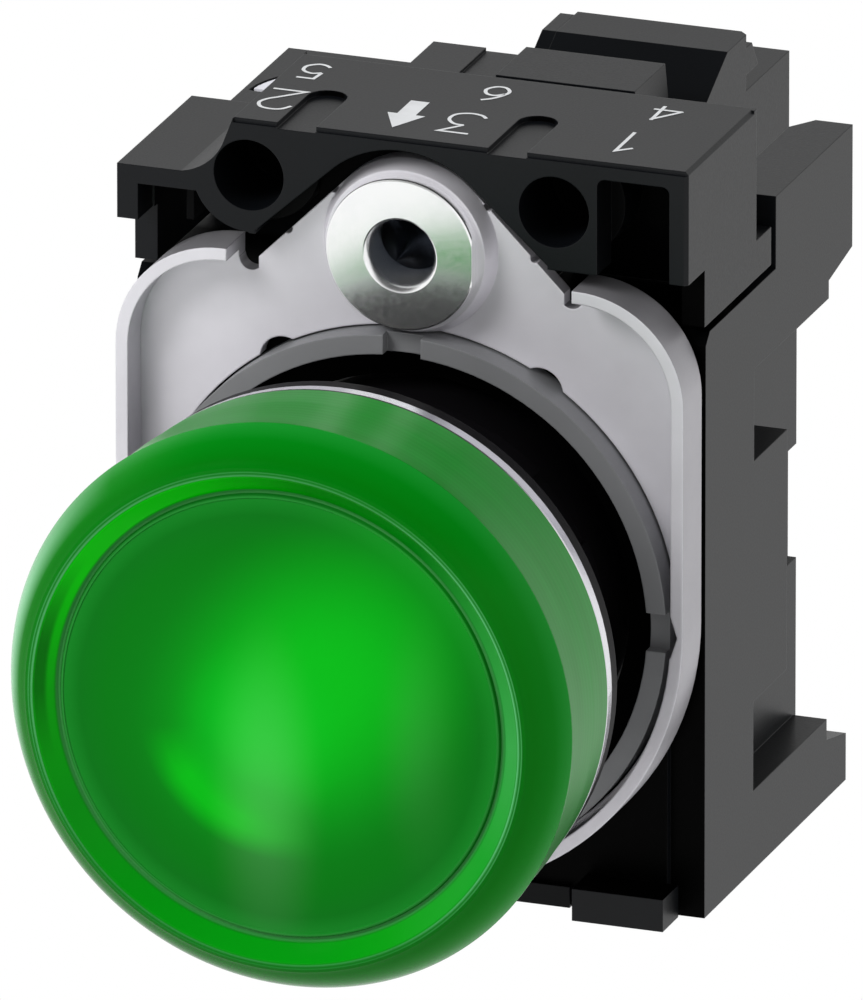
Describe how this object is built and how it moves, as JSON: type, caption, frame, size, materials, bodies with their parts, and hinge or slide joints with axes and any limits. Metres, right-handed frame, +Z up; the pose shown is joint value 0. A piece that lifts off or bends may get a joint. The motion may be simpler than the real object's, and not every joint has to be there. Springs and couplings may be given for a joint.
{
  "type": "panel pilot light",
  "caption": "Panel pilot light with a round green lens in a bezel-less head, a clamp that grips the panel from behind, and a clip-in lamp module with screw terminals.",
  "frame": {"origin": "where the light axis meets the panel's front face, at the back of the head's collar", "axes": "+X right seen from the front, +Y into the panel along the light axis, +Z up"},
  "size_m": [0.03, 0.0618, 0.041],
  "materials": {
    "green_lens": "gloss",
    "light_diffuser": "satin",
    "black_rubber": "matt",
    "silver_trim": "gloss",
    "black_head": "satin",
    "grey_ring": "satin",
    "spring_steel": "satin",
    "plate_grey": "satin",
    "zinc_steel": "satin",
    "screw_steel": "satin",
    "black_cover": "matt",
    "black_body": "matt",
    "pale_latch": "matt",
    "black_module": "matt",
    "board_green": "satin",
    "clear_lamp": "gloss",
    "black_chip": "matt",
    "terminal_brass": "satin"
  },
  "bodies": {
    "unit": {"lens": "green_lens", "light_spreader": "light_diffuser", "lens_seal": "black_rubber", "trim_ring": "silver_trim", "front_collar": "black_head", "panel_gasket": "black_rubber", "locking_ring": "grey_ring", "retaining_clip": "spring_steel", "clamp_plate": "plate_grey", "clamp_bush": "zinc_steel", "holder_cover": "black_cover", "holder_body": "black_body", "latch_spring_left": "pale_latch", "module_housing": "black_module", "module_side_cover": "black_module", "circuit_board": "board_green", "lamp": "clear_lamp", "resistors": "black_chip", "contact_bar_upper": "terminal_brass", "contact_bar_lower": "terminal_brass"},
    "clamp_keeper": {"screw_keeper": "zinc_steel"},
    "clamp_screw": {"clamp_screw": "screw_steel"},
    "saddle_upper": {"saddle_upper": "zinc_steel"},
    "terminal_screw_upper": {"terminal_screw_upper": "screw_steel"},
    "saddle_lower": {"saddle_lower": "zinc_steel"},
    "terminal_screw_lower": {"terminal_screw_lower": "screw_steel"}
  },
  "joints": [
    {"name": "clamp_keeper_slide", "type": "slide", "parent": "unit", "child": "clamp_keeper", "axis": [0, -0.9925, -0.1219], "range_m": [0, 0.0055]},
    {"name": "clamp_screw_turn", "type": "hinge", "parent": "clamp_keeper", "child": "clamp_screw", "pos_m": [0, 0.0075, 0.0183], "axis": [0, -0.9925, -0.1219], "range_deg": [0, 3300.1]},
    {"name": "saddle_upper_slide", "type": "slide", "parent": "unit", "child": "saddle_upper", "axis": [0, -1, 0], "range_m": [0, 0.0025]},
    {"name": "terminal_screw_upper_turn", "type": "hinge", "parent": "saddle_upper", "child": "terminal_screw_upper", "pos_m": [0, 0.0416, 0.0108], "axis": [0, -1, 0], "range_deg": [0, 1800.1]},
    {"name": "saddle_lower_slide", "type": "slide", "parent": "unit", "child": "saddle_lower", "axis": [0, -1, 0], "range_m": [0, 0.0025]},
    {"name": "terminal_screw_lower_turn", "type": "hinge", "parent": "saddle_lower", "child": "terminal_screw_lower", "pos_m": [0, 0.0416, -0.008], "axis": [0, -1, 0], "range_deg": [0, 1800.1]}
  ],
  "couplings": [
    {"joint": "clamp_screw_turn", "follows": "clamp_keeper_slide", "rad_per_m": 10472},
    {"joint": "terminal_screw_upper_turn", "follows": "saddle_upper_slide", "rad_per_m": 12566},
    {"joint": "terminal_screw_lower_turn", "follows": "saddle_lower_slide", "rad_per_m": 12566}
  ]
}
